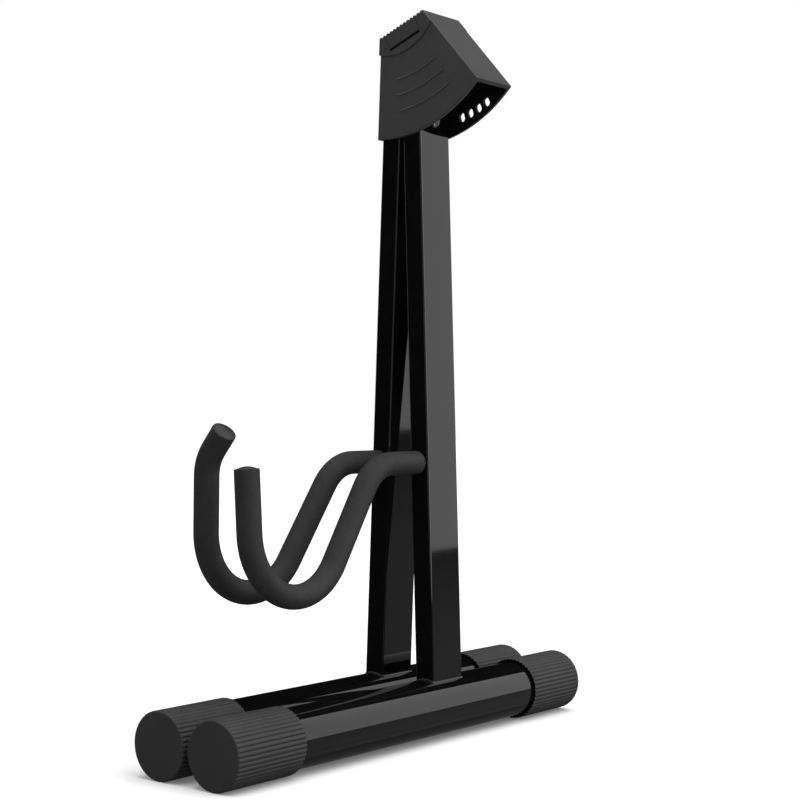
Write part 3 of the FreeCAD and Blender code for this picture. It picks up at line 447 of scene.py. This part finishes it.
shoulder = Vector((0, -SHOULDER_REACH, ARM_ROOT_HEIGHT))
downhill = Vector((0, -cos(ARM_SLOPE), -sin(ARM_SLOPE)))
prong_up = Vector((0, -sin(PRONG_LEAN), cos(PRONG_LEAN)))
prong_foot = Vector((0, -PRONG_REACH, ARM_ROOT_HEIGHT))
slope_run = (PRONG_REACH - SHOULDER_REACH) / (cos(ARM_SLOPE) + sin(ARM_SLOPE) * tan(PRONG_LEAN))
cradle = shoulder + downhill * slope_run
turn_up = downhill.angle(prong_up)
bend = prong_foot + prong_up * ((BEND_HEIGHT - ARM_ROOT_HEIGHT) / cos(PRONG_LEAN))
bent_up = prong_up * cos(BEND_ANGLE) + X_AXIS * sin(BEND_ANGLE)
tip_ends = {
    "left": (bend + bent_up * BEND_LENGTH, bent_up),
    "right": (prong_foot + prong_up * ((PRONG_TOP - ARM_ROOT_HEIGHT) / cos(PRONG_LEAN)), prong_up),
}


def sleeve_run(bm, side_name, radius, root_inset, tip_inset):
    """A tube along one hook's bends; gives the rings at its root and at its tip."""
    verts = ring_across_y(bm, radius, SLEEVE_SEGMENTS)
    start = Vector((0, SLEEVE_START_Y - root_inset, ARM_ROOT_HEIGHT))
    bmesh.ops.translate(bm, verts=verts, vec=start)
    root_ring = list({edge for vert in verts for edge in vert.link_edges})
    entry = shoulder + Y_AXIS * SHOULDER_RADIUS * tan(ARM_SLOPE / 2)
    ring = straight_run(bm, root_ring, entry - start)
    ring = bent_run(bm, ring, entry - Z_AXIS * SHOULDER_RADIUS, X_AXIS, ARM_SLOPE, SHOULDER_STEPS)
    leave = shoulder + downhill * SHOULDER_RADIUS * tan(ARM_SLOPE / 2)
    entry = cradle - downhill * CRADLE_RADIUS * tan(turn_up / 2)
    ring = straight_run(bm, ring, entry - leave)
    inwards = Vector((0, -sin(ARM_SLOPE), cos(ARM_SLOPE)))
    ring = bent_run(bm, ring, entry + inwards * CRADLE_RADIUS, -X_AXIS, turn_up, CRADLE_STEPS)
    leave = cradle + prong_up * CRADLE_RADIUS * tan(turn_up / 2)
    tip, heading = tip_ends[side_name]
    if side_name == "left":
        entry = bend - prong_up * BEND_RADIUS * tan(BEND_ANGLE / 2)
        ring = straight_run(bm, ring, entry - leave)
        bend_axis = prong_up.cross(X_AXIS)
        ring = bent_run(bm, ring, entry + X_AXIS * BEND_RADIUS, bend_axis, BEND_ANGLE, BEND_STEPS)
        leave = bend + bent_up * BEND_RADIUS * tan(BEND_ANGLE / 2)
    return root_ring, straight_run(bm, ring, tip - leave - heading * tip_inset)


for side_name, side in SIDES:
    bm = bmesh.new()
    outer_root, outer_tip = sleeve_run(bm, side_name, SLEEVE_RADIUS, SLEEVE_ROUND, SLEEVE_TIP_ROUND)
    outer_root = rounded_end(bm, outer_root, Y_AXIS, SLEEVE_RADIUS, SLEEVE_ROUND)
    outer_tip = rounded_end(bm, outer_tip, tip_ends[side_name][1], SLEEVE_RADIUS, SLEEVE_TIP_ROUND)
    bore_root, bore_tip = sleeve_run(bm, side_name, SLEEVE_BORE, 0.0, 0.0)
    bmesh.ops.bridge_loops(bm, edges=outer_root + bore_root)
    bmesh.ops.bridge_loops(bm, edges=outer_tip + bore_tip)
    bmesh.ops.transform(bm, matrix=leg_place(side), verts=bm.verts)
    sleeve = finished_piece(bm, side_name + "_arm_sleeve_foam", side_name + "_leg", "arm_foam",
                            sleeve_foam, side_name + "_arm_sleeve")
    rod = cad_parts[side_name + "_arm_rod"]
    rod.data.materials.clear()
    rod.data.materials.append(black_paint)

# A moulded plug closes each sleeve: a stem in the foam and a shallow domed head
# that lies on the sleeve's end.
TIP_HEAD_RADIUS = 5.8 * MM
TIP_HEAD_RISE = 1.4 * MM
TIP_STEM_RADIUS = 4.0 * MM
TIP_STEM_DEPTH = 7.0 * MM
DOME_RADIUS = (TIP_HEAD_RADIUS ** 2 + TIP_HEAD_RISE ** 2) / (2 * TIP_HEAD_RISE)
DOME_HALF_ANGLE = asin(TIP_HEAD_RADIUS / DOME_RADIUS)
DOME_STEPS = 8
TIP_SEGMENTS = 40
tip_plastic = finish_material("tip_plastic", moulded_group, scales=(1900.0, 60.0),
                              tones=((0.014, 0.014, 0.0142), (0.022, 0.022, 0.0222)),
                              roughness=(0.38, 0.54), relief=(0.2, 0.00004), IOR=1.5)

for side_name, side in SIDES:
    bm = bmesh.new()
    points = [(0, 0, -TIP_STEM_DEPTH), (TIP_STEM_RADIUS, 0, -TIP_STEM_DEPTH), (TIP_STEM_RADIUS, 0, 0),
              (TIP_HEAD_RADIUS, 0, 0)]
    for step in reversed(range(DOME_STEPS)):
        turn = DOME_HALF_ANGLE * step / DOME_STEPS
        points.append((DOME_RADIUS * sin(turn), 0, TIP_HEAD_RISE - DOME_RADIUS * (1 - cos(turn))))
    bmesh.ops.spin(bm, geom=drawn_loop(bm, points, False), cent=(0, 0, 0), axis=Z_AXIS, angle=2 * pi,
                   steps=TIP_SEGMENTS, use_merge=True)
    tip, heading = tip_ends[side_name]
    turned = Z_AXIS.rotation_difference(heading).to_matrix().to_4x4()
    bmesh.ops.transform(bm, matrix=leg_place(side) @ Matrix.Translation(tip) @ turned, verts=bm.verts)
    finished_piece(bm, side_name + "_arm_tip_plug", side_name + "_leg", "plug_plastic", tip_plastic,
                   side_name + "_arm_tip")

# The head is an injection moulding with a fine satin texture, open below, screwed
# on the left upright. Its raised top cap and the ribbed button are mouldings of
# the same plastic.
FLAT_ANGLE = radians(0.4)
CLEAR_OF_FACE = 0.01 * MM
head_plastic = finish_material("head_plastic", moulded_group, scales=(2200.0, 30.0),
                               tones=((0.044, 0.044, 0.045), (0.052, 0.052, 0.053)),
                               roughness=(0.38, 0.52), relief=(0.3, 0.00005), IOR=1.4)
# The faces inside the head get a much darker copy of the same plastic: painted shade where little light
# gets in.
painted_shade_plastic = finish_material("head_plastic_painted_shade", moulded_group, scales=(1500.0, 30.0),
                                 tones=((0.004, 0.004, 0.0042), (0.006, 0.006, 0.0062)),
                                 roughness=(0.6, 0.75), relief=(0.2, 0.00004), IOR=1.4)


def smoothed_copy(node, name, body, slot, material, inside=None):
    """A merged copy of a CAD node's mesh, its flat faces whole again and its round ones smooth.

    With a finish for the inside, a face that looks at another face of the piece gets that one;
    that finish is a much darker copy of the plastic, as painted shade.
    """
    bm = bmesh.new()
    bm.from_mesh(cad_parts[node].data)
    bmesh.ops.remove_doubles(bm, verts=bm.verts, dist=MERGE_DISTANCE)
    if inside:
        bm.normal_update()
        shell = BVHTree.FromBMesh(bm)
        for face in bm.faces:
            from_point = face.calc_center_median() + face.normal * CLEAR_OF_FACE
            face.material_index = 0 if shell.ray_cast(from_point, face.normal)[0] is None else 1
    bmesh.ops.dissolve_limit(bm, angle_limit=FLAT_ANGLE, verts=bm.verts, edges=bm.edges,
                             delimit={"MATERIAL"})
    piece = finished_piece(bm, name, body, slot, material, node)
    if inside:
        piece.data.materials.append(inside)
    return piece


smoothed_copy("head_shell", "head_shell_moulded", "left_leg", "head_plastic", head_plastic,
              inside=painted_shade_plastic)
smoothed_copy("top_cap", "top_cap_moulded", "left_leg", "head_plastic", head_plastic)
smoothed_copy("release_button", "release_button_moulded", "release_button", "button_plastic",
              head_plastic)

# A nylon knuckle is riveted in the right upright's top and turns on a steel pin.
# Pin, screws and rivet are blackened steel.
knuckle_nylon = finish_material("knuckle_nylon", moulded_group, scales=(1600.0, 30.0),
                                tones=((0.016, 0.016, 0.0165), (0.021, 0.021, 0.0215)),
                                roughness=(0.4, 0.55), relief=(0.2, 0.00004), IOR=1.5)
dark_steel = finish_material("dark_steel", spray_group, scales=(700.0, 60.0),
                             tones=((0.3, 0.3, 0.305), (0.38, 0.38, 0.385)),
                             roughness=(0.28, 0.42), relief=(0.15, 0.00003), Metallic=1.0)
smoothed_copy("hinge_knuckle", "hinge_knuckle_nylon", "right_leg", "knuckle_plastic", knuckle_nylon)
smoothed_copy("knuckle_rivet", "knuckle_rivet_steel", "right_leg", "dark_steel", dark_steel)
smoothed_copy("pivot_pin", "pivot_pin_steel", "left_leg", "dark_steel", dark_steel)
smoothed_copy("upright_screws", "upright_screws_steel", "left_leg", "dark_steel", dark_steel)

# The coil spring under the button is wound from blackened wire. It stands on the
# head's shelf, and the button's post holds it upright and presses it shorter.
spring = smoothed_copy("button_spring", "button_spring_steel", "left_leg", "dark_steel", dark_steel)
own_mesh(spring)

# A plain white floor and white all round, lit softly from above, the front and the
# right. Black and grey boards that only reflections see stand round the left and
# the front and lie under the floor: they glow at a fixed grey and are painted
# reflections, which give the gloss paint its bands.
FLOOR_HALF = 6.0
FLOOR_WHITE = (0.9, 0.9, 0.9, 1.0)
FLOOR_BOUNCE = (0.42, 0.42, 0.42, 1.0)
FLOOR_GLOW = 0.1
FULL_WHITE = (1, 1, 1, 1)
ROOM_LIGHT = 0.4
BOARD_RADIUS = 3.2
BOARD_TOP = 3.6
BOARD_STEPS = 32
# Each standing board's name, where its arc starts from X, how far it goes and its grey.
BOARD_ARCS = (("rear_left_board", radians(80), radians(105), 0.004),
              ("front_board", radians(200), radians(80), 0.004),
              ("front_right_board", radians(280), radians(80), 0.3))
UNDERFLOOR_DROP = 0.077
UNDERFLOOR_EDGE_X = 2.66
UNDERFLOOR_FRONT_Y = -0.45
UNDER_STAND_LOW = (-0.3, -0.35)
UNDER_STAND_HIGH = (0.13, 0.35)
UNDER_STAND_RISE = 0.001
CONTACT_SHADOW_LOW = (-0.06, -0.25)
CONTACT_SHADOW_HIGH = (0.0435, 0.2)
CONTACT_SHADOW_HEIGHT = -0.008
FADE_START_X = 0.8
FADE_END_X = 2.3


def background_rays(tree):
    """A mask of the rays that see the background: camera, glossy and transmission rays."""
    rays = add_node(tree, "ShaderNodeLightPath")
    first = add_node(tree, "ShaderNodeMath", operation="MAXIMUM")
    second = add_node(tree, "ShaderNodeMath", operation="MAXIMUM")
    tree.links.new(rays.outputs["Is Camera Ray"], first.inputs[0])
    tree.links.new(rays.outputs["Is Glossy Ray"], first.inputs[1])
    tree.links.new(first.outputs[0], second.inputs[0])
    tree.links.new(rays.outputs["Is Transmission Ray"], second.inputs[1])
    return second.outputs[0]


def stage_piece(bm, name, material):
    """A bmesh made an object of the scene, with one material, for the floor and boards round the stand.
    """
    piece = object_of(bm, name, material)
    return piece


def level_sheet(low, high, height):
    """A bmesh of one level rectangle between two corners seen from above."""
    bm = bmesh.new()
    verts = bmesh.ops.create_grid(bm, x_segments=1, y_segments=1, size=0.5)["verts"]
    bmesh.ops.scale(bm, verts=verts, vec=(high[0] - low[0], high[1] - low[1], 1))
    middle = ((low[0] + high[0]) / 2, (low[1] + high[1]) / 2, height)
    bmesh.ops.translate(bm, verts=verts, vec=middle)
    return bm


floor_paint = bpy.data.materials.new("studio_floor")
floor_paint.use_nodes = True
floor_tree = floor_paint.node_tree
floor_shader = floor_tree.nodes["Principled BSDF"]
floor_shader.inputs["Roughness"].default_value = 1.0
floor_shader.inputs["Specular IOR Level"].default_value = 0.0
floor_shader.inputs["Emission Color"].default_value = FULL_WHITE
glow = add_node(floor_tree, "ShaderNodeMath", {1: FLOOR_GLOW}, operation="MULTIPLY")
floor_seen = background_rays(floor_tree)
floor_tone = add_node(floor_tree, "ShaderNodeMix", {"A": FLOOR_BOUNCE, "B": FLOOR_WHITE},
                      data_type="RGBA")
floor_tree.links.new(floor_seen, floor_tone.inputs["Factor"])
floor_tree.links.new(floor_tone.outputs["Result"], floor_shader.inputs["Base Color"])
floor_tree.links.new(floor_seen, glow.inputs[0])
floor_tree.links.new(glow.outputs[0], floor_shader.inputs["Emission Strength"])
floor = stage_piece(level_sheet((-FLOOR_HALF, -FLOOR_HALF), (FLOOR_HALF, FLOOR_HALF), 0.0),
                    "studio_floor", floor_paint)
floor.visible_glossy = False

world = bpy.data.worlds.new("studio")
world.use_nodes = True
bpy.context.scene.world = world
world_tree = world.node_tree
background = world_tree.nodes["Background"]
background.inputs["Color"].default_value = FULL_WHITE
brightness = add_node(world_tree, "ShaderNodeMapRange", {"To Min": ROOM_LIGHT, "To Max": 1.0})
world_tree.links.new(background_rays(world_tree), brightness.inputs["Value"])
world_tree.links.new(brightness.outputs["Result"], background.inputs["Strength"])


def reflected_board(bm, name, grey, far_grey=None):
    """A matt board that only reflections see, glowing at one grey or fading to another one along X: a
    painted reflection.
    """
    material = bpy.data.materials.new(name)
    material.use_nodes = True
    tree = material.node_tree
    tree.nodes.remove(tree.nodes["Principled BSDF"])
    shade = add_node(tree, "ShaderNodeEmission", {"Strength": grey})
    tree.links.new(shade.outputs[0], tree.nodes["Material Output"].inputs["Surface"])
    if far_grey:
        place = add_node(tree, "ShaderNodeTexCoord")
        split = add_node(tree, "ShaderNodeSeparateXYZ")
        fade = add_node(tree, "ShaderNodeMapRange", {"From Min": FADE_START_X, "From Max": FADE_END_X,
                                                     "To Min": grey, "To Max": far_grey})
        tree.links.new(place.outputs["Object"], split.inputs[0])
        tree.links.new(split.outputs["X"], fade.inputs["Value"])
        tree.links.new(fade.outputs["Result"], shade.inputs["Strength"])
    board = stage_piece(bm, name, material)
    board.visible_camera = board.visible_diffuse = board.visible_shadow = False
    board.visible_transmission = board.visible_volume_scatter = False


for board_name, start, turn, grey in BOARD_ARCS:
    wall = bmesh.new()
    post = drawn_loop(wall, [(BOARD_RADIUS, 0, -UNDERFLOOR_DROP), (BOARD_RADIUS, 0, BOARD_TOP)], False)
    bmesh.ops.rotate(wall, verts=wall.verts, cent=(0, 0, 0), matrix=Matrix.Rotation(start, 3, "Z"))
    bmesh.ops.spin(wall, geom=post, cent=(0, 0, 0), axis=Z_AXIS, angle=turn, steps=BOARD_STEPS)
    reflected_board(wall, board_name, grey)
rear_sheet = level_sheet((-FLOOR_HALF, UNDERFLOOR_FRONT_Y), (UNDERFLOOR_EDGE_X, FLOOR_HALF),
                         -UNDERFLOOR_DROP)
reflected_board(rear_sheet, "rear_floor_board", grey=0.19, far_grey=0.08)
front_sheet = level_sheet((-FLOOR_HALF, -FLOOR_HALF), (UNDERFLOOR_EDGE_X, UNDERFLOOR_FRONT_Y),
                          -UNDERFLOOR_DROP)
reflected_board(front_sheet, "front_floor_board", grey=0.01)
# A grey sheet under the stand: painted shade of the floor under it, seen only in reflections.
under_stand_shade_sheet = level_sheet(UNDER_STAND_LOW, UNDER_STAND_HIGH, UNDER_STAND_RISE - UNDERFLOOR_DROP)
reflected_board(under_stand_shade_sheet, "under_stand_shade_board", grey=0.16)
# A darker sheet just round the feet: the floor's painted contact shadow, seen only in reflections.
contact_shadow_sheet = level_sheet(CONTACT_SHADOW_LOW, CONTACT_SHADOW_HIGH, CONTACT_SHADOW_HEIGHT)
reflected_board(contact_shadow_sheet, "contact_shadow_board", grey=0.08)


def soft_sun(name, come_from, spread, strength):
    """A very wide, even light from one side."""
    lamp = bpy.data.lights.new(name, "SUN")
    lamp.angle = spread
    lamp.energy = strength
    holder = bpy.data.objects.new(name, lamp)
    holder.rotation_euler = Vector(come_from).to_track_quat("Z", "Y").to_euler()
    bpy.context.scene.collection.objects.link(holder)
    return holder


top_light = soft_sun("top_light", come_from=(0.25, 0.1, 1.0), spread=radians(60), strength=2.2)
front_light = soft_sun("front_light", come_from=(0.1, -1.0, 0.5), spread=radians(70), strength=0.57)
top_light.visible_glossy = front_light.visible_glossy = False
soft_sun("right_light", come_from=(1.0, 0.25, 0.45), spread=radians(60), strength=0.95)

# The photograph was taken with a long lens from the right front, level with the
# middle of the stand.
CAMERA_YAW = radians(38.55)
CAMERA_PITCH = radians(-0.01)
CAMERA_ROLL = radians(0.262)
CAMERA_PLACE = Vector((0.655681, -0.837823, 0.209503))
CAMERA_LENS = 75.75
CAMERA_SENSOR = 36.0
back = Vector((sin(CAMERA_YAW) * cos(CAMERA_PITCH), -cos(CAMERA_YAW) * cos(CAMERA_PITCH),
               sin(CAMERA_PITCH)))
level_right = Vector((cos(CAMERA_YAW), sin(CAMERA_YAW), 0))
level_up = back.cross(level_right)
right = level_right * cos(CAMERA_ROLL) + level_up * sin(CAMERA_ROLL)
up = level_up * cos(CAMERA_ROLL) - level_right * sin(CAMERA_ROLL)
lens = bpy.data.cameras.new("photo_camera")
lens.lens = CAMERA_LENS
lens.sensor_width = CAMERA_SENSOR
camera = bpy.data.objects.new("photo_camera", lens)
camera.matrix_world = Matrix.Translation(CAMERA_PLACE) @ Matrix((right, up, back)).transposed().to_4x4()
bpy.context.scene.collection.objects.link(camera)
bpy.context.scene.camera = camera
bpy.context.scene.view_settings.view_transform = "Standard"
